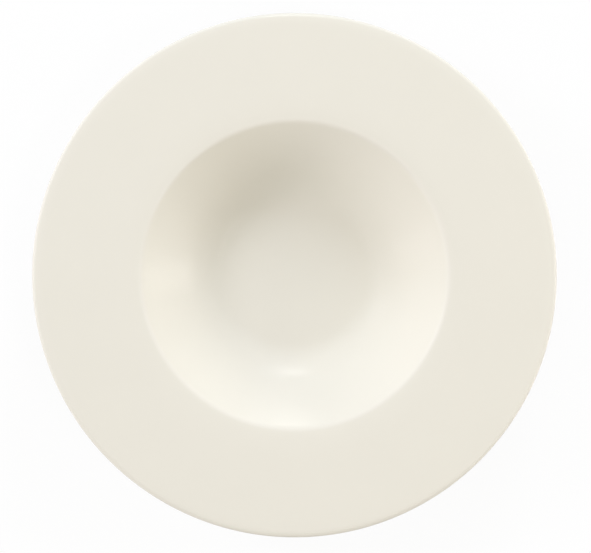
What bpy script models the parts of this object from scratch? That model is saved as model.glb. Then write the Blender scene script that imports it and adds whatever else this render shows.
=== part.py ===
# Pasta plate: a wide-rimmed porcelain plate with a deep round well, standing on a bare foot ring.
# Metres, +Z up. The origin is on the table under the centre of the plate.
# Its separate solids are the fired body, the glaze over it, and the glaze inside the foot ring.

import math

import bmesh
import bpy
from mathutils import Matrix, Vector

# Size of the finished plate, glaze included; the height is the lip's, before its edge is rounded
PLATE_DIAMETER = 0.300
PLATE_HEIGHT = 0.043

# Well: the corners are where the straight runs of the body would meet without their fillets
WELL_DIAMETER = 0.176
WELL_EDGE_FILLET = 0.004
BOWL_DIAMETER = 0.113
BOWL_SLOPE_DEG = 28.0
BOWL_FILLET = 0.060
FLOOR_DIAMETER = 0.091
FLOOR_FILLET = 0.021
FLOOR_THICKNESS = 0.005
WALL_THICKNESS = 0.005

# Rim: nearly level, with a soft shoulder that leans into the well
SHOULDER_DIAMETER = 0.196
SHOULDER_SLOPE_DEG = 4.5
SHOULDER_FILLET = 0.250
RIM_SLOPE_DEG = 1.6
RIM_THICKNESS = 0.0046
LIP_FILLET = 0.0021
UNDER_RIM_FILLET = 0.010

# Foot ring: it stands out from the underside, which follows the well at an even thickness
FOOT_DIAMETER = 0.098
FOOT_WIDTH = 0.005
FOOT_EDGE_ROUND = 0.0012
FOOT_FILLET = 0.002
RECESS_DEPTH = 0.0035

# Glaze: a thin glassy coat that stops short of the table, so that the foot stays bare
GLAZE_THICKNESS = 0.00025
GLAZE_BOND_GAP = 0.00005
GLAZE_LINE_HEIGHT = 0.0018

# Facets
TURN_STEPS = 64
ARC_ERROR = 0.00008
FILLET_SHARE_OF_EDGE = 0.49
MERGE_DISTANCE = 0.000005
SHARP_ANGLE_DEG = 35.0

# Colours are linear, as the Principled shader takes them
GLAZE_COLOUR = (0.84, 0.80, 0.71, 1.0)
GLAZE_ROUGHNESS = 0.2
BODY_COLOUR = (0.80, 0.76, 0.67, 1.0)
BODY_ROUGHNESS = 0.7


def clear_scene():
    for existing in list(bpy.data.objects):
        bpy.data.objects.remove(existing, do_unlink=True)


def ceramic(name, colour, roughness):
    """A non-metallic Principled material."""
    material = bpy.data.materials.new(name)
    material.use_nodes = True
    shader = material.node_tree.nodes["Principled BSDF"]
    shader.inputs["Base Color"].default_value = colour
    shader.inputs["Roughness"].default_value = roughness
    shader.inputs["Metallic"].default_value = 0.0
    material.diffuse_color = colour
    return material


def corner(radius, height, fillet=0.0):
    """A corner of the section: its place in the radius-height plane, and the fillet that rounds it."""
    return Vector((radius, height)), fillet


def meet(first, first_slope, second, second_slope):
    """Where two sloping lines of the section cross. Each is a point on it and its rise over run."""
    run = second.y - first.y + first_slope * first.x - second_slope * second.x
    radius = run / (first_slope - second_slope)
    return Vector((radius, first.y + first_slope * (radius - first.x)))


def rounded(corners):
    """The points of an outline through the corners, each fillet drawn as an arc tangent to both runs."""
    points = [corners[0][0]]
    for (before, _), (here, fillet), (after, _) in zip(corners, corners[1:], corners[2:]):
        back = before - here
        ahead = after - here
        half_turn = (math.pi - back.angle(ahead)) / 2
        room = FILLET_SHARE_OF_EDGE * min(back.length, ahead.length)
        tangent = min(fillet * math.tan(half_turn), room)
        if tangent == 0.0:
            points.append(here)
            continue
        radius = tangent / math.tan(half_turn)
        to_centre = (back.normalized() + ahead.normalized()).normalized()
        centre = here + to_centre * radius / math.cos(half_turn)
        spoke = here + back.normalized() * tangent - centre
        turn = math.copysign(2 * half_turn, back.cross(ahead))
        step = 2 * math.acos(1 - ARC_ERROR / max(radius, 2 * ARC_ERROR))
        steps = max(2, math.ceil(abs(turn) / step))
        for i in range(steps + 1):
            points.append(centre + Matrix.Rotation(-turn * i / steps, 2) @ spoke)
    points.append(corners[-1][0])
    return points


def height_at(points, radius):
    """The height of an outline at a radius, on the straight run that passes it."""
    for a, b in zip(points, points[1:]):
        if a.x <= radius <= b.x:
            return a.lerp(b, (radius - a.x) / (b.x - a.x)).y


def offset(points, distance):
    """The outline moved outwards, which is to the left of the way it runs."""
    runs = [(b - a).normalized() for a, b in zip(points, points[1:])]
    outward = [Vector((-run.y, run.x)) for run in runs]
    moved = [points[0] + outward[0] * distance]
    for point, before, after in zip(points[1:], outward, outward[1:]):
        mitre = (before + after).normalized()
        moved.append(point + mitre * distance / mitre.dot(before))
    moved.append(points[-1] + outward[-1] * distance)
    return moved


def through_wall(start, end):
    """The start of a sloping run of the well, moved square through the wall to its outside."""
    run = (end - start).normalized()
    return start + Vector((run.y, -run.x)) * WALL_THICKNESS


def section():
    """The body's outline in three stretches: under the glaze coat, bare foot, and foot recess.

    It runs from the centre of the well's floor, round the lip, to the centre of the recess.
    """
    coat = GLAZE_BOND_GAP + GLAZE_THICKNESS
    lip_radius = PLATE_DIAMETER / 2 - coat
    lip_top = PLATE_HEIGHT - coat
    rim_slope = math.tan(math.radians(RIM_SLOPE_DEG))
    shoulder_slope = math.tan(math.radians(SHOULDER_SLOPE_DEG))
    bowl_slope = math.tan(math.radians(BOWL_SLOPE_DEG))
    shoulder_radius = SHOULDER_DIAMETER / 2
    shoulder_top = lip_top - rim_slope * (lip_radius - shoulder_radius)
    edge_radius = WELL_DIAMETER / 2
    edge = Vector((edge_radius, shoulder_top - shoulder_slope * (shoulder_radius - edge_radius)))
    floor = Vector((FLOOR_DIAMETER / 2, RECESS_DEPTH + FLOOR_THICKNESS))
    bowl_radius = BOWL_DIAMETER / 2
    bowl = Vector((bowl_radius, floor.y + bowl_slope * (bowl_radius - floor.x)))
    wall_slope = (edge.y - bowl.y) / (edge.x - bowl.x)

    # The underside runs parallel to the floor, the bowl and the wall, and then to the rim
    bowl_outside = through_wall(floor, bowl)
    wall_outside = through_wall(bowl, edge)
    centre_bottom = Vector((0.0, RECESS_DEPTH))
    lip_bottom = Vector((lip_radius, lip_top - RIM_THICKNESS))
    under_floor = meet(bowl_outside, bowl_slope, centre_bottom, 0.0)
    under_bowl = meet(bowl_outside, bowl_slope, wall_outside, wall_slope)
    under_rim = meet(wall_outside, wall_slope, lip_bottom, rim_slope)
    underside = rounded([
        corner(centre_bottom.x, centre_bottom.y),
        corner(under_floor.x, under_floor.y, FLOOR_FILLET + WALL_THICKNESS),
        corner(under_bowl.x, under_bowl.y, BOWL_FILLET + WALL_THICKNESS),
        corner(under_rim.x, under_rim.y, UNDER_RIM_FILLET),
        corner(lip_bottom.x, lip_bottom.y),
    ])

    # The foot ring splits the underside into the wall outside it and the recess inside it
    foot_radius = FOOT_DIAMETER / 2
    foot_top = height_at(underside, foot_radius)
    recess_radius = foot_radius - FOOT_WIDTH
    recess_top = height_at(underside, recess_radius)
    outside = [corner(*point) for point in reversed(underside) if point.x > foot_radius + FOOT_FILLET]
    inside = [corner(*point) for point in reversed(underside) if point.x < recess_radius - FOOT_FILLET]

    coated = rounded([
        corner(0.0, floor.y),
        corner(floor.x, floor.y, FLOOR_FILLET),
        corner(bowl.x, bowl.y, BOWL_FILLET),
        corner(edge.x, edge.y, WELL_EDGE_FILLET),
        corner(shoulder_radius, shoulder_top, SHOULDER_FILLET),
        corner(lip_radius, lip_top, LIP_FILLET),
        corner(lip_bottom.x, lip_bottom.y, LIP_FILLET),
        *outside[1:],
        corner(foot_radius, foot_top, FOOT_FILLET),
        corner(foot_radius, GLAZE_LINE_HEIGHT),
    ])
    bare = rounded([
        corner(foot_radius, GLAZE_LINE_HEIGHT),
        corner(foot_radius, 0.0, FOOT_EDGE_ROUND),
        corner(recess_radius, 0.0, FOOT_EDGE_ROUND),
        corner(recess_radius, GLAZE_LINE_HEIGHT),
    ])
    recess = rounded([
        corner(recess_radius, GLAZE_LINE_HEIGHT),
        corner(recess_radius, recess_top, FOOT_FILLET),
        *inside,
    ])
    return coated, bare, recess


def coat_of(points):
    """The closed outline of the glaze on a stretch of the body: outer face out, inner face back."""
    outer = offset(points, GLAZE_BOND_GAP + GLAZE_THICKNESS)
    inner = offset(points, GLAZE_BOND_GAP)
    return outer + inner[::-1]


def turned(name, points, material, parent):
    """A solid of revolution: the closed outline spun about Z, without its stretch along the axis."""
    form = bmesh.new()
    vertices = [form.verts.new((point.x, 0.0, point.y)) for point in points]
    pairs = zip(vertices, vertices[1:] + vertices[:1])
    edges = [form.edges.new(pair) for pair in pairs if max(end.co.x for end in pair) > MERGE_DISTANCE]
    bmesh.ops.spin(
        form,
        geom=vertices + edges,
        cent=(0.0, 0.0, 0.0),
        axis=(0.0, 0.0, 1.0),
        angle=2 * math.pi,
        steps=TURN_STEPS,
        use_merge=True,
    )
    bmesh.ops.remove_doubles(form, verts=form.verts, dist=MERGE_DISTANCE)
    bmesh.ops.recalc_face_normals(form, faces=form.faces)
    mesh = bpy.data.meshes.new(name)
    form.to_mesh(mesh)
    form.free()
    mesh.shade_smooth()
    mesh.set_sharp_from_angle(angle=math.radians(SHARP_ANGLE_DEG))
    mesh.materials.append(material)
    piece = bpy.data.objects.new(name, mesh)
    piece.parent = parent
    bpy.context.scene.collection.objects.link(piece)


def main():
    clear_scene()
    plate = bpy.data.objects.new("pasta_plate", None)
    bpy.context.scene.collection.objects.link(plate)
    glaze = ceramic("ivory_glaze", GLAZE_COLOUR, GLAZE_ROUGHNESS)
    bisque = ceramic("bare_porcelain", BODY_COLOUR, BODY_ROUGHNESS)
    coated, bare, recess = section()
    turned("porcelain_body", coated + bare[1:-1] + recess, bisque, plate)
    turned("glaze_coat", coat_of(coated), glaze, plate)
    turned("foot_recess_glaze", coat_of(recess), glaze, plate)


main()
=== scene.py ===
import math

import bpy
import numpy as np
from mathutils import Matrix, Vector


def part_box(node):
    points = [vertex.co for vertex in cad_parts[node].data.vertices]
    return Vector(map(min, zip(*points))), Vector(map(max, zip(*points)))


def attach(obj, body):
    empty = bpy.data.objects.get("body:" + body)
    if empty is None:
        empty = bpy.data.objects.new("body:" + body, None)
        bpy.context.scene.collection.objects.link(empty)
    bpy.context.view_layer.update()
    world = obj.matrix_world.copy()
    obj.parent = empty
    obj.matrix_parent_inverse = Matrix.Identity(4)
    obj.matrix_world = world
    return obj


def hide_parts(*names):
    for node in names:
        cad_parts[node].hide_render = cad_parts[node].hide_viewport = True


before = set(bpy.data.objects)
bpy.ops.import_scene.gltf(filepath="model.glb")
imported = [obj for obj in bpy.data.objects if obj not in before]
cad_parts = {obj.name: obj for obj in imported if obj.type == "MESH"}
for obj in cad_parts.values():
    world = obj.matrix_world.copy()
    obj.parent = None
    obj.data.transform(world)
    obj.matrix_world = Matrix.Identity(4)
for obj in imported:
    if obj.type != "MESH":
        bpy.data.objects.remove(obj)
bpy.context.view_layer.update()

scene = bpy.context.scene
mm = 0.001

coatLow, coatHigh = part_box("glaze_coat")
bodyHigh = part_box("porcelain_body")[1]

# The section of the fired body, in metres. Corners are where the straight runs would meet unrounded.
plate = dict(
    coat=coatHigh.x - bodyHigh.x,  # how far the glazed face stands off the clay
    lipRadius=bodyHigh.x,
    lipTop=0.0427,
    lipRound=0.0014,
    lipUnderRound=0.0021,
    lipTurn=0.0032,  # how far in from the edge the rim starts to turn down
    lipTurnSlope=7.0,  # degrees
    lipTurnRound=0.025,
    rimThickness=0.0046,
    rimSlope=1.6,  # degrees
    shoulderRadius=0.098,
    shoulderSlope=4.5,  # degrees
    shoulderRound=0.190,
    wellRadius=0.088,
    wellRound=0.004,
    bowlRadius=0.0565,
    bowlSlope=28.0,  # degrees
    bowlRound=0.060,
    floorRadius=0.0455,
    floorRound=0.021,
    floorTop=0.0085,
    floorBottom=0.0035,
    wellEase=0.002,  # how far the floor's curve runs out into floor and wall
    wallThickness=0.005,
    underRimRound=0.010,
    footRadius=0.049,
    footWidth=0.005,
    footRound=0.0012,
    footFillet=0.0016,
    recessFillet=0.0012,
    filletRoom=2.0,  # how far the underside is cut back for these two, in their own radii
    glazeLine=coatLow.z,  # height at which the glaze stops on the foot
    ease=0.0004,  # how far the glaze levels the joins of straight and round
    warp=0.00015,  # how far firing lifts and drops the lip
    warpWaves=((2, 1.0, 0.6), (3, 0.5, 2.1)),  # count round the plate, share and phase of each wave
)

# How finely the pieces are drawn
fineness = dict(
    pathStep=0.0002, arcPoints=40,
    bellReach=3,  # spreads of the bell that an eased point takes in on either side
    turnWeight=0.040,  # a radian of turning gets as many points as this length does
    coatTurns=256, footTurns=192,
)


# sRGB hex to linear light: a straight line for the darkest values, a power of 2.4 above them
def toLinear(hexColour):
    channels = np.array([int(hexColour[i:i + 2], 16) for i in (1, 3, 5)]) / 255
    linear = np.where(channels <= 0.04045, channels / 12.92, ((channels + 0.055) / 1.055) ** 2.4)
    return (*linear.tolist(), 1.0)


# 0 below low, 1 above high, and an S-shaped rise between them
def softStep(values, low, high):
    t = np.clip((values - low) / (high - low), 0, 1)
    return t * t * (3 - 2 * t)


# A path through corners (radius, height, rounding): every corner is cut back to the two points where a
# circle of that rounding touches its straight runs, and the arc between them takes its place.
def roundedPath(corners):
    corners = np.array(corners, float)
    stretches = [corners[:1, :2]]
    for before, corner, after in zip(corners, corners[1:], corners[2:]):
        here, rounding = corner[:2], corner[2]
        back = (before[:2] - here) / np.linalg.norm(before[:2] - here)
        ahead = (after[:2] - here) / np.linalg.norm(after[:2] - here)
        halfTurn = (math.pi - math.acos(np.clip(back @ ahead, -1, 1))) / 2
        middle = (back + ahead) / np.linalg.norm(back + ahead)
        centre = here + middle * rounding / math.cos(halfTurn)
        across = np.array([-middle[1], middle[0]])
        across *= math.copysign(1, across @ ahead)
        angle = np.linspace(-halfTurn, halfTurn, fineness["arcPoints"])[:, None]
        stretches.append(centre - rounding * (middle * np.cos(angle) - across * np.sin(angle)))
    stretches.append(corners[-1:, :2])
    return np.concatenate(stretches)


# How far along the path each of its points lies: the lengths of its steps, added up
def lengthAlong(path):
    steps = np.linalg.norm(np.diff(path, axis=0), axis=1)
    return np.concatenate([[0], np.cumsum(steps)])


# Each column read off at the given places of its measure, on straight lines from row to row
def columnsAt(places, measure, columns):
    return np.stack([np.interp(places, measure, column) for column in columns.T], 1)


# Even steps along the path, each point then the bell-weighted mean of its neighbours, so that one
# curve runs into the next without a kink. The ends are carried on straight.
def easedPath(path, spread):
    step = fineness["pathStep"]
    length = lengthAlong(path)
    count = int(length[-1] / step) + 1
    path = columnsAt(np.linspace(0, length[-1], count), length, path)
    reach = int(fineness["bellReach"] * spread / step)
    bell = np.exp(-0.5 * (np.arange(-reach, reach + 1) * step / spread) ** 2)
    bell /= bell.sum()
    lead = 2 * path[:1] - path[reach:0:-1]
    tail = 2 * path[-1:] - path[-2:-reach - 2:-1]
    padded = np.concatenate([lead, path, tail])
    return np.stack([np.convolve(column, bell, "valid") for column in padded.T], 1)


# Rows of a fine path spaced by length and by turning together: close on tight rounds, wide on flats.
# Columns past the first two are values carried along with the points.
def thinnedRows(rows, count):
    run = np.diff(rows[:, :2], axis=0)
    heading = np.unwrap(np.arctan2(run[:, 1], run[:, 0]))
    turning = np.concatenate([[0], np.abs(np.diff(heading)), [0]])
    measure = lengthAlong(rows[:, :2]) + fineness["turnWeight"] * np.cumsum(turning)
    return columnsAt(np.linspace(0, measure[-1], count), measure, rows)


# Each point moved along its normal, to the left of the way the path runs
def offsetPath(path, distance):
    run = np.gradient(path, axis=0)
    run /= np.linalg.norm(run, axis=1)[:, None]
    left = np.stack([-run[:, 1], run[:, 0]], 1)
    return path + left * np.reshape(distance, (-1, 1))


# Where two sloping lines of the section cross, each given by a point and its rise over run
def crossing(first, firstSlope, second, secondSlope):
    rise = second[1] - first[1] + firstSlope * first[0] - secondSlope * second[0]
    radius = rise / (firstSlope - secondSlope)
    return np.array([radius, first[1] + firstSlope * (radius - first[0])])


# The start of a sloping run of the well, moved square through the wall to its outside
def throughWall(start, end, thickness):
    run = (end - start) / np.linalg.norm(end - start)
    return start + thickness * np.array([run[1], -run[0]])


# The clay's section in three paths: under the coat from the well's middle round the lip to the foot, the
# bare foot, and the recess inside the foot from the foot to its middle. Outside is on their left.
def sectionPaths(p):
    rimSlope = math.tan(math.radians(p["rimSlope"]))
    shoulderTop = p["lipTop"] - rimSlope * (p["lipRadius"] - p["shoulderRadius"])
    drop = math.tan(math.radians(p["shoulderSlope"])) * (p["shoulderRadius"] - p["wellRadius"])
    edge = np.array([p["wellRadius"], shoulderTop - drop])
    floor = np.array([p["floorRadius"], p["floorTop"]])
    bowlSlope = math.tan(math.radians(p["bowlSlope"]))
    bowl = np.array([p["bowlRadius"], p["floorTop"] + bowlSlope * (p["bowlRadius"] - p["floorRadius"])])
    wallSlope = (edge[1] - bowl[1]) / (edge[0] - bowl[0])
    wallMiddle = (bowl + edge) / 2
    bowlOutside = throughWall(floor, bowl, p["wallThickness"])
    wallOutside = throughWall(bowl, edge, p["wallThickness"])
    turn = np.array([p["lipRadius"] - p["lipTurn"], p["lipTop"] - rimSlope * p["lipTurn"]])
    lipEdge = np.array([p["lipRadius"], turn[1] - math.tan(math.radians(p["lipTurnSlope"])) * p["lipTurn"]])
    lipBottom = np.array([p["lipRadius"], p["lipTop"] - p["rimThickness"]])
    underFloor = crossing(bowlOutside, bowlSlope, (0, p["floorBottom"]), 0.0)
    underBowl = crossing(bowlOutside, bowlSlope, wallOutside, wallSlope)
    underRim = crossing(wallOutside, wallSlope, lipBottom, rimSlope)

    well = easedPath(roundedPath([
        (0, p["floorTop"], 0),
        (*floor, p["floorRound"]),
        (*bowl, p["bowlRound"]),
        (*wallMiddle, 0),
    ]), p["wellEase"])
    rim = roundedPath([
        (*wallMiddle, 0),
        (*edge, p["wellRound"]),
        (p["shoulderRadius"], shoulderTop, p["shoulderRound"]),
        (*turn, p["lipTurnRound"]),
        (*lipEdge, p["lipRound"]),
        (*lipBottom, p["lipUnderRound"]),
        (*underRim, 0),
    ])[1:-1]
    underside = roundedPath([
        (0, p["floorBottom"], 0),
        (*underFloor, p["floorRound"] + p["wallThickness"]),
        (*underBowl, p["bowlRound"] + p["wallThickness"]),
        (*underRim, p["underRimRound"]),
        (*lipBottom, 0),
    ])

    footRadius = p["footRadius"]
    recessRadius = footRadius - p["footWidth"]
    footTop, recessTop = np.interp([footRadius, recessRadius], underside[:, 0], underside[:, 1])
    outsideFoot = underside[:, 0] > footRadius + p["filletRoom"] * p["footFillet"]
    wallDown = underside[outsideFoot][-2::-1]  # from under the rim down to the foot
    footDown = roundedPath([
        (*wallDown[-1], 0),
        (footRadius, footTop, p["footFillet"]),
        (footRadius, p["glazeLine"], 0),
    ])[1:]
    bare = roundedPath([
        (footRadius, p["glazeLine"], 0),
        (footRadius, 0, p["footRound"]),
        (recessRadius, 0, p["footRound"]),
        (recessRadius, p["glazeLine"], 0),
    ])[1:-1]
    insideFoot = underside[:, 0] < recessRadius - p["filletRoom"] * p["recessFillet"]
    ceiling = underside[insideFoot][::-1]  # from the foot in to the axis
    recessUp = roundedPath([
        (recessRadius, p["glazeLine"], 0),
        (recessRadius, recessTop, p["recessFillet"]),
        (*ceiling[0], 0),
    ])[:-1]
    coated = easedPath(np.concatenate([well, rim, wallDown, footDown]), p["ease"])
    recess = easedPath(np.concatenate([recessUp, ceiling]), p["ease"])
    return coated, bare, recess


# Waves round the plate, added up: each is a cosine with its count, share and phase
def wavesRound(angle, waves):
    return sum(share * np.cos(count * angle + phase) for count, share, phase in waves)


# Firing leaves the lip a little out of level: waves that are nil in the well and full at the lip
def firedWarp(radius, angle):
    share = softStep(radius, plate["wellRadius"], plate["lipRadius"])
    return plate["warp"] * share * wavesRound(angle, plate["warpWaves"])


# The wiped edge of the glaze wanders on the foot: waves that are full at the edge and fade out above it
def wipedEdge(height, angle, s):
    share = 1 - softStep(height, plate["glazeLine"], plate["glazeLine"] + s["wanderFade"])
    return s["wander"] * share * wavesRound(angle, s["wanderWaves"])


# The outline, from axis to axis, carried round Z: ring i at angle j is at (r cos, r sin, z), with the warp
# and any wander of a glaze's edge added to z. A point closes each end, and the last angle joins the first.
def turnedPiece(name, outline, turns, edge=None):
    angle = np.arange(turns) * (2 * math.pi / turns)
    radius = outline[1:-1, 0, None] + 0 * angle
    height = outline[1:-1, 1, None] + firedWarp(radius, angle)
    if edge:
        height = height + wipedEdge(height, angle, edge)
    rings = np.stack([radius * np.cos(angle), radius * np.sin(angle), height], 2)
    ends = np.array([[0, 0, outline[0, 1]], [0, 0, outline[-1, 1]]])
    points = np.concatenate([ends, rings.reshape(-1, 3)])

    index = 2 + np.arange(len(rings) * turns).reshape(len(rings), turns)
    onward = np.roll(index, -1, axis=1)
    quads = np.stack([index[:-1], index[1:], onward[1:], onward[:-1]], 2).reshape(-1, 4)
    first = np.zeros(turns, int)
    firstFan = np.stack([first, index[0], onward[0]], 1)
    lastFan = np.stack([first + 1, onward[-1], index[-1]], 1)

    mesh = bpy.data.meshes.new(name)
    mesh.from_pydata(points.tolist(), [], firstFan.tolist() + quads.tolist() + lastFan.tolist())
    mesh.shade_smooth()
    piece = bpy.data.objects.new(name, mesh)
    scene.collection.objects.link(piece)
    print(name, len(points), "points,", 2 * len(quads) + 2 * turns, "triangles")
    return piece


# One value for each point of the outline, given to the whole ring that it makes
def ringValues(piece, name, values, turns):
    spread = np.concatenate([values[[0, -1]], np.repeat(values[1:-1], turns)])
    layer = piece.data.attributes.new(name, "FLOAT", "POINT")
    layer.data.foreach_set("value", spread.astype(np.float32))


# settings are the node's own properties, inputs its fixed values, links the sockets that feed it.
# A Mix of colours takes its share at 0 and its colours at 6 and 7, and gives the mix at output 2.
def addNode(tree, kind, settings={}, inputs={}, links={}):
    node = tree.nodes.new(kind)
    for key, value in settings.items():
        setattr(node, key, value)
    for key, value in inputs.items():
        node.inputs[key].default_value = value
    for key, source in links.items():
        tree.links.new(source, node.inputs[key])
    return node


def newMaterial(name):
    material = bpy.data.materials.new(name)
    material.use_nodes = True
    material.node_tree.nodes.clear()
    return material, material.node_tree


# Ivory feldspar glaze, dipped and fired smooth. To the eye it is one warm white with a soft gloss, a
# shade paler where it runs thin over an edge, faintly clouded, and never quite level like glass.
ivory = dict(
    thin="#EFEBE0", deep="#EAE6D9", thinDepth=0.6, deepDepth=1.2,
    cloudSize=35 * mm, cloudStrength=0.012,
    roughness=0.18, roughnessSpread=0.03,
    peelSize=5 * mm, peelDepth=0.0025 * mm,
    ior=1.5,
)


def ivoryGlaze(s):
    material, tree = newMaterial("ivoryFeldsparGlaze")
    place = addNode(tree, "ShaderNodeTexCoord").outputs["Object"]
    depth = addNode(tree, "ShaderNodeAttribute", {"attribute_name": "glazeDepth"})
    share = addNode(
        tree, "ShaderNodeMapRange", {},
        {"From Min": s["thinDepth"], "From Max": s["deepDepth"]}, {"Value": depth.outputs["Fac"]})
    tint = addNode(
        tree, "ShaderNodeMix", {"data_type": "RGBA"},
        {6: toLinear(s["thin"]), 7: toLinear(s["deep"])}, {0: share.outputs[0]})
    cloud = addNode(
        tree, "ShaderNodeTexNoise", {},
        {"Scale": 1 / s["cloudSize"], "Detail": 3.0, "Roughness": 0.55}, {"Vector": place})
    level = addNode(
        tree, "ShaderNodeMapRange", {},
        {"To Min": 1 - s["cloudStrength"], "To Max": 1 + s["cloudStrength"]},
        {"Value": cloud.outputs["Fac"]})
    colour = addNode(
        tree, "ShaderNodeMix", {"data_type": "RGBA", "blend_type": "MULTIPLY"},
        {0: 1.0}, {6: tint.outputs[2], 7: level.outputs[0]})
    polish = addNode(
        tree, "ShaderNodeMapRange", {},
        {"To Min": s["roughness"] - s["roughnessSpread"], "To Max": s["roughness"] + s["roughnessSpread"]},
        {"Value": cloud.outputs["Fac"]})
    peel = addNode(
        tree, "ShaderNodeTexNoise", {},
        {"Scale": 1 / s["peelSize"], "Detail": 1.0}, {"Vector": place})
    bump = addNode(
        tree, "ShaderNodeBump", {},
        {"Strength": 1.0, "Distance": s["peelDepth"]}, {"Height": peel.outputs["Fac"]})
    shader = addNode(
        tree, "ShaderNodeBsdfPrincipled", {}, {"IOR": s["ior"]},
        {"Base Color": colour.outputs[2], "Roughness": polish.outputs[0], "Normal": bump.outputs[0]})
    addNode(tree, "ShaderNodeOutputMaterial", {}, {}, {"Surface": shader.outputs[0]})
    return material


# Bare porcelain, fired without glaze and ground level so that the plate doesn't rock. To the eye it is
# chalky and a little greyer than the glaze, finely grained, with grinding lines that follow the ring.
bisque = dict(
    clay="#E3DDCF", rubbed="#CBC4B5",
    grainSize=0.7 * mm, grainDepth=0.012 * mm,  # real grain is near 0.05 mm, drawn coarser to show
    lineGap=0.6 * mm, lineDepth=0.010 * mm,
    rubbedHeight=0.35 * mm, patchSize=9 * mm,
    roughness=0.68, ior=1.5,
)


def barePorcelain(s):
    material, tree = newMaterial("barePorcelain")
    place = addNode(tree, "ShaderNodeTexCoord").outputs["Object"]
    grain = addNode(
        tree, "ShaderNodeTexNoise", {},
        {"Scale": 1 / s["grainSize"], "Detail": 4.0}, {"Vector": place})
    ringSpan = 0.314  # the wave texture draws one ring in this length at scale 1
    lines = addNode(
        tree, "ShaderNodeTexWave", {"wave_type": "RINGS", "rings_direction": "Z"},
        {"Scale": ringSpan / s["lineGap"], "Distortion": 1.5, "Detail": 2.0}, {"Vector": place})
    patches = addNode(
        tree, "ShaderNodeTexNoise", {},
        {"Scale": 1 / s["patchSize"], "Detail": 3.0}, {"Vector": place})
    height = addNode(tree, "ShaderNodeSeparateXYZ", {}, {}, {0: place})
    low = addNode(
        tree, "ShaderNodeMapRange", {},
        {"From Min": s["rubbedHeight"], "From Max": 0.0}, {"Value": height.outputs["Z"]})
    worn = addNode(
        tree, "ShaderNodeMath", {"operation": "MULTIPLY"}, {},
        {0: low.outputs[0], 1: patches.outputs["Fac"]})
    tint = addNode(
        tree, "ShaderNodeMix", {"data_type": "RGBA"},
        {6: toLinear(s["clay"]), 7: toLinear(s["rubbed"])}, {0: worn.outputs[0]})
    grainBump = addNode(
        tree, "ShaderNodeBump", {},
        {"Strength": 1.0, "Distance": s["grainDepth"]}, {"Height": grain.outputs["Fac"]})
    lineBump = addNode(
        tree, "ShaderNodeBump", {},
        {"Strength": 1.0, "Distance": s["lineDepth"]},
        {"Height": lines.outputs["Fac"], "Normal": grainBump.outputs[0]})
    shader = addNode(
        tree, "ShaderNodeBsdfPrincipled", {}, {"IOR": s["ior"], "Roughness": s["roughness"]},
        {"Base Color": tint.outputs[2], "Normal": lineBump.outputs[0]})
    addNode(tree, "ShaderNodeOutputMaterial", {}, {}, {"Surface": shader.outputs[0]})
    return material


# The glaze, on the plate and in the recess
glaze = dict(
    bond=0.05 * mm,  # gap between clay and glaze
    pooling=1.2 * mm,  # how strongly it thins on rounds and thickens in hollows
    thinnest=0.55, thickest=1.3,  # limits, as shares of the usual thickness
    roll=0.35, rollWidth=0.8 * mm,  # it draws up into a roll along its wiped edge
    wander=0.28 * mm, wanderFade=1.4 * mm,  # how far the wiped edge strays, and the height it fades over
    wanderWaves=((5, 0.5, 0.4), (13, 0.3, 1.9), (31, 0.2, 4.0)),  # count, share and phase
    beadPoints=9, coatPoints=200, coatBack=110, recessPoints=90, recessBack=50,
)


# Glaze on a path that runs from the axis to the wiped edge: its face lies off the clay by the coat, less on
# rounds and more in hollows, its edge is a half-round bead, and its back follows the clay at the bond gap.
def glazeOutline(path, side, facePoints, backPoints, s):
    length = lengthAlong(path)
    run = np.gradient(path, axis=0)
    bend = side * np.gradient(np.unwrap(np.arctan2(run[:, 1], run[:, 0])), length)
    depth = np.clip(1 + s["pooling"] * bend, s["thinnest"], s["thickest"])
    depth *= 1 + s["roll"] * np.exp(-((length[-1] - length) / s["rollWidth"]) ** 2)
    face = offsetPath(path, side * (s["bond"] + (plate["coat"] - s["bond"]) * depth))
    back = offsetPath(path, side * s["bond"])

    middle = (face[-1] + back[-1]) / 2
    arm = face[-1] - middle
    along = run[-1] / np.linalg.norm(run[-1]) * np.linalg.norm(arm)
    swing = np.linspace(0, math.pi, s["beadPoints"])[:, None]
    bead = middle - along + arm * np.cos(swing) + along * np.sin(swing)
    rows = np.concatenate([
        thinnedRows(np.column_stack([face, depth]), facePoints)[:-1],
        np.column_stack([bead, np.full(len(bead), depth[-1])]),
        thinnedRows(np.column_stack([back, depth]), backPoints)[-2::-1],
    ])
    return rows[::side]


# Gives a piece its finish, and lets it stand for its CAD node
def dressNode(piece, node, material):
    piece.data.materials.append(material)
    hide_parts(node)
    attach(piece, "root")


coatedPath, barePath, recessPath = sectionPaths(plate)
ivoryMaterial = ivoryGlaze(ivory)
bisqueMaterial = barePorcelain(bisque)

coatRows = glazeOutline(coatedPath, 1, glaze["coatPoints"], glaze["coatBack"], glaze)
glazeCoat = turnedPiece("glazeCoat", coatRows[:, :2], fineness["coatTurns"], glaze)
ringValues(glazeCoat, "glazeDepth", coatRows[:, 2], fineness["coatTurns"])
dressNode(glazeCoat, "glaze_coat", ivoryMaterial)

recessRows = glazeOutline(recessPath[::-1], -1, glaze["recessPoints"], glaze["recessBack"], glaze)
footRecessGlaze = turnedPiece("footRecessGlaze", recessRows[:, :2], fineness["footTurns"], glaze)
ringValues(footRecessGlaze, "glazeDepth", recessRows[:, 2], fineness["footTurns"])
dressNode(footRecessGlaze, "foot_recess_glaze", ivoryMaterial)

# The fired body: its whole outline, of which only the foot stays bare
body = dict(points=220)
bodyRows = thinnedRows(np.concatenate([coatedPath, barePath, recessPath]), body["points"])
porcelainBody = turnedPiece("porcelainBody", bodyRows, fineness["footTurns"])
dressNode(porcelainBody, "porcelain_body", bisqueMaterial)
print("pieces made")


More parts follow.
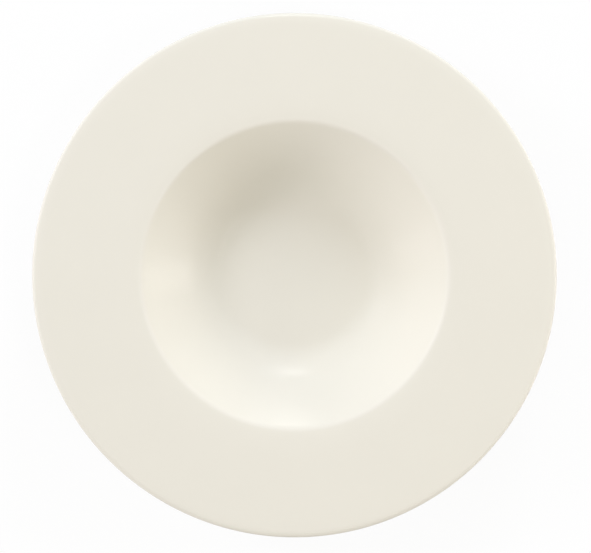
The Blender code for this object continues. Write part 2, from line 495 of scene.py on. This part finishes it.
# 1 for a ray from the camera, off gloss or through glass, and 0 for light on its way to a dull surface
def seenRays(tree):
    rays = addNode(tree, "ShaderNodeLightPath")
    first = addNode(
        tree, "ShaderNodeMath", {"operation": "MAXIMUM"}, {},
        {0: rays.outputs["Is Camera Ray"], 1: rays.outputs["Is Glossy Ray"]})
    return addNode(
        tree, "ShaderNodeMath", {"operation": "MAXIMUM"}, {},
        {0: first.outputs[0], 1: rays.outputs["Is Transmission Ray"]})


# Floor: plain white paper, lit mostly from itself where it is seen, and less so the nearer it lies to the
# foot, so that the plate's shadow stays. The light it throws up is held back, or the lip would clip.
paper = dict(
    half=4.0, height=-0.2 * mm,
    colour="#FAFAFA", thrown="#C8C8C8",
    underPlate=0.55, underRadius=0.09,  # share of its own light, and the radius that has it
    besidePlate=0.93, besideRadius=0.158,
    farOff=1.0, farRadius=1.2,
)


# Its share of its own light rises with the distance from the middle in two smooth steps, one to beside the
# plate and one to far off, and is nil for light on its way to a dull surface
def addFloor(s):
    half, height = s["half"], s["height"]
    mesh = bpy.data.meshes.new("floor")
    corners = [(-half, -half, height), (half, -half, height), (half, half, height), (-half, half, height)]
    mesh.from_pydata(corners, [], [(0, 1, 2, 3)])
    material, tree = newMaterial("whitePaper")
    place = addNode(tree, "ShaderNodeTexCoord").outputs["Object"]
    radius = addNode(tree, "ShaderNodeVectorMath", {"operation": "LENGTH"}, {}, {0: place})
    near = addNode(
        tree, "ShaderNodeMapRange", {"interpolation_type": "SMOOTHSTEP"},
        {"From Min": s["underRadius"], "From Max": s["besideRadius"],
         "To Min": s["underPlate"], "To Max": s["besidePlate"]},
        {"Value": radius.outputs["Value"]})
    far = addNode(
        tree, "ShaderNodeMapRange", {"interpolation_type": "SMOOTHSTEP"},
        {"From Min": s["besideRadius"], "From Max": s["farRadius"],
         "To Min": 0.0, "To Max": s["farOff"] - s["besidePlate"]},
        {"Value": radius.outputs["Value"]})
    own = addNode(
        tree, "ShaderNodeMath", {"operation": "ADD"}, {}, {0: near.outputs[0], 1: far.outputs[0]})
    seen = seenRays(tree)
    share = addNode(
        tree, "ShaderNodeMath", {"operation": "MULTIPLY"}, {}, {0: own.outputs[0], 1: seen.outputs[0]})
    tint = addNode(
        tree, "ShaderNodeMix", {"data_type": "RGBA"},
        {6: toLinear(s["thrown"]), 7: toLinear(s["colour"])}, {0: seen.outputs[0]})
    sheet = addNode(tree, "ShaderNodeBsdfDiffuse", {}, {}, {"Color": tint.outputs[2]})
    glow = addNode(tree, "ShaderNodeEmission", {}, {"Strength": 1.0})
    mix = addNode(
        tree, "ShaderNodeMixShader", {}, {},
        {0: share.outputs[0], 1: sheet.outputs[0], 2: glow.outputs[0]})
    addNode(tree, "ShaderNodeOutputMaterial", {}, {}, {"Surface": mix.outputs[0]})
    mesh.materials.append(material)
    floor = bpy.data.objects.new("floor", mesh)
    scene.collection.objects.link(floor)


# Studio: a white room, brighter to the left and overhead, with round soft boxes behind the plate, to its
# left, high on its right and low down on either side. A small lamp close behind the plate shows in the
# gloss alone and leaves one glint on the near wall. It is close so that the rim never mirrors it all over.
room = dict(level=0.392, lean=(-0.772, 0.134, 0.37), colour="#FEFFF1")
softBox = dict(size=(0.6, 0.6), distance=2.0, glossy=False, diffuse=True)
lamps = dict(
    backBox=dict(softBox, azimuth=77.1, elevation=23.3, power=17.6, colour="#E3EDFF"),
    leftBox=dict(softBox, azimuth=157.3, elevation=31.7, power=12.5, colour="#EAEAFF"),
    highBox=dict(softBox, azimuth=324, elevation=60, power=6.6, colour="#FFF0F2"),
    lowRight=dict(softBox, azimuth=0, elevation=9.2, power=17.7, colour="#FFFCFA"),
    lowLeft=dict(softBox, azimuth=194.6, elevation=8.2, power=8.1, colour="#FAF2FF"),
    glint=dict(
        size=(0.066, 0.032), distance=0.238, glossy=True, diffuse=False,
        azimuth=89.4, elevation=23.8, power=0.0205, colour="#FFFFFF"),
)


# Room strength towards a direction: the level times (1 + direction . lean)
def lightRoom(s):
    world = bpy.data.worlds.new("studio")
    scene.world = world
    world.use_nodes = True
    tree = world.node_tree
    tree.nodes.clear()
    direction = addNode(tree, "ShaderNodeTexCoord")
    leaning = addNode(
        tree, "ShaderNodeVectorMath", {"operation": "DOT_PRODUCT"}, {1: s["lean"]},
        {0: direction.outputs["Generated"]})
    strength = addNode(
        tree, "ShaderNodeMath", {"operation": "MULTIPLY_ADD"},
        {1: s["level"], 2: s["level"]}, {0: leaning.outputs["Value"]})
    walls = addNode(
        tree, "ShaderNodeBackground", {},
        {"Color": toLinear(s["colour"])}, {"Strength": strength.outputs[0]})
    white = addNode(tree, "ShaderNodeBackground", {}, {"Color": (1, 1, 1, 1), "Strength": 1.0})
    seen = seenRays(tree)
    mix = addNode(
        tree, "ShaderNodeMixShader", {}, {},
        {0: seen.outputs[0], 1: walls.outputs[0], 2: white.outputs[0]})
    addNode(tree, "ShaderNodeOutputWorld", {}, {}, {"Surface": mix.outputs[0]})


# A lamp that faces the plate, at an azimuth counted from +X towards +Y and an elevation above the table
def addLamp(name, s):
    azimuth, elevation = math.radians(s["azimuth"]), math.radians(s["elevation"])
    across = math.cos(elevation)
    direction = Vector((across * math.cos(azimuth), across * math.sin(azimuth), math.sin(elevation)))
    light = bpy.data.lights.new(name, "AREA")
    light.shape = "ELLIPSE"
    light.size, light.size_y = s["size"]
    light.energy = s["power"]
    light.color = toLinear(s["colour"])[:3]
    lamp = bpy.data.objects.new(name, light)
    lamp.location = Vector((0, 0, plate["lipTop"])) + direction * s["distance"]
    lamp.rotation_euler = direction.to_track_quat("Z", "Y").to_euler()
    lamp.visible_glossy = s["glossy"]
    lamp.visible_diffuse = s["diffuse"]
    lamp.visible_camera = False
    scene.collection.objects.link(lamp)


addFloor(paper)
lightRoom(room)
for lampName, lampSettings in lamps.items():
    addLamp(lampName, lampSettings)
scene.view_settings.view_transform = "Standard"
print("studio lit")

# Camera: straight down from overhead, with the plate as large as in the photograph and a pixel off centre
shot = dict(
    lens=100.0, sensor=36.0,  # millimetres
    width=591, height=553, plateRadius=262.4, plateCentre=(294.5, 275.1),  # pixels
)


# Its height over the middle of the lip is the width of the frame there, times lens over sensor
def addCamera(s):
    pixel = coatHigh.x / s["plateRadius"]  # metres in a pixel, at the lip
    camera = bpy.data.cameras.new("camera")
    camera.lens = s["lens"]
    camera.sensor_width = s["sensor"]
    view = bpy.data.objects.new("camera", camera)
    view.location = (
        (s["width"] / 2 - s["plateCentre"][0]) * pixel,
        (s["plateCentre"][1] - s["height"] / 2) * pixel,
        plate["lipTop"] - plate["rimThickness"] / 2 + s["width"] * pixel * s["lens"] / s["sensor"],
    )
    scene.collection.objects.link(view)
    scene.camera = view


addCamera(shot)
